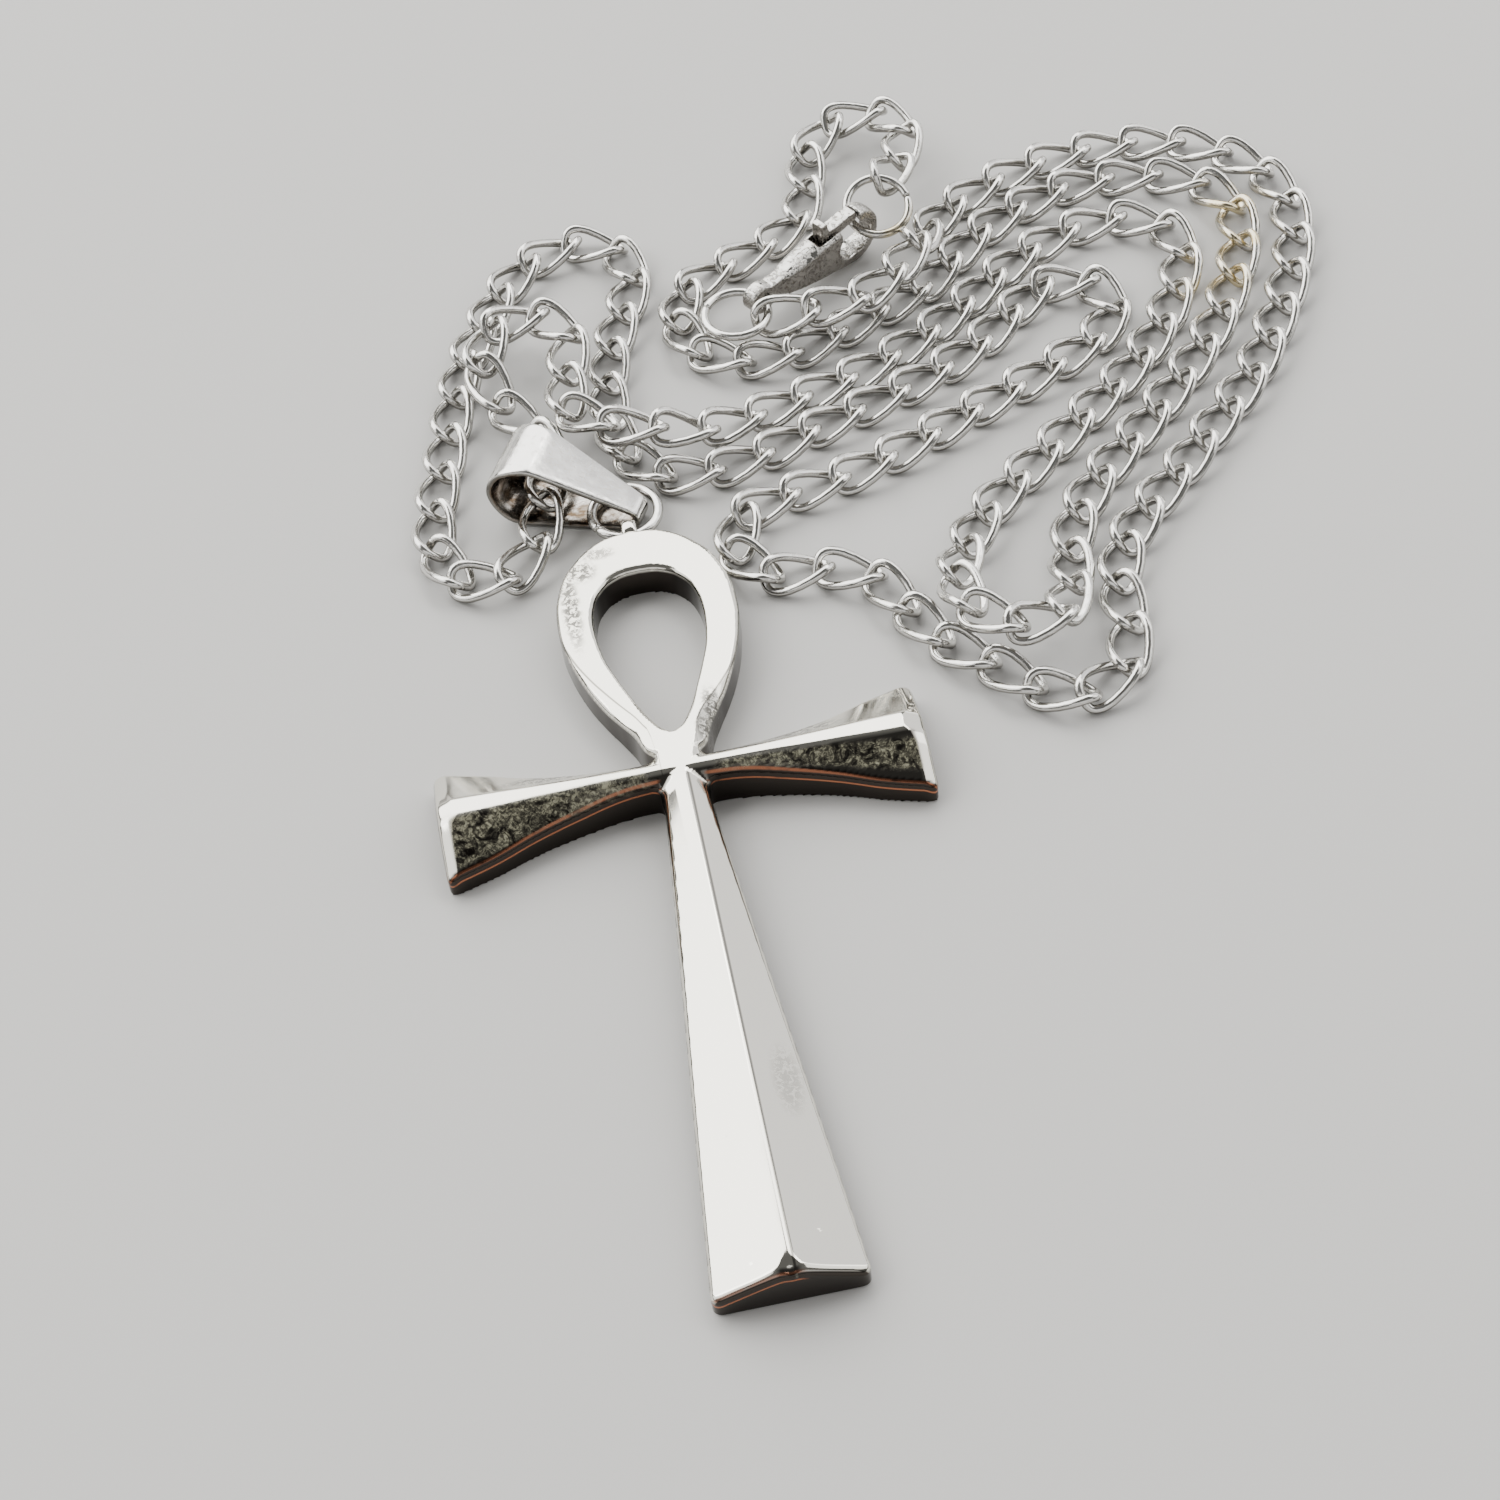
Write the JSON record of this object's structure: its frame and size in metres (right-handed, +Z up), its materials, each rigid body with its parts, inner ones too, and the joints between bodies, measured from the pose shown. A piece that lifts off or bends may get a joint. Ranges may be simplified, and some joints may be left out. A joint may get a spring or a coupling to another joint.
{
  "type": "ankh pendant necklace",
  "caption": "Faceted ankh pendant on a tubular bail, with a twisted curb chain and a lobster claw clasp, lying flat and fastened",
  "frame": {"origin": "On the pendant's flat back, at the middle of the crossing of its arms and stem; the surface that it lies on is the plane z = 0", "axes": "+Z up out of the surface and out of the pendant's front, +Y along the pendant from the crossing to its loop, +X to the right as seen from above"},
  "size_m": [0.08, 0.1119, 0.0064],
  "materials": {
    "cast_metal": "mirror-bright plating over cast zinc, lightly scratched and pitted",
    "wire": "bright plated wire, a few links worn to brassy yellow",
    "clasp_metal": "bright plating, worn and mottled on its edges"
  },
  "bodies": {
    "necklace": {"ankh": "cast_metal", "bail": "cast_metal", "jump_ring": "wire", "chain_clasp_half": "wire", "chain_ring_half": "wire", "clasp_body": "clasp_metal", "tail_ring": "wire", "end_ring": "wire"},
    "lever": {"clasp_lever": "clasp_metal"}
  },
  "joints": [
    {"name": "lever_hinge", "type": "hinge", "parent": "necklace", "child": "lever", "pos_m": [0.02106, 0.05179, 0.004], "axis": [-0.5446, 0.8387, 0], "range_deg": [0, 25], "stiffness_Nm_per_rad": 0.0005, "springref_deg": -20.05}
  ]
}
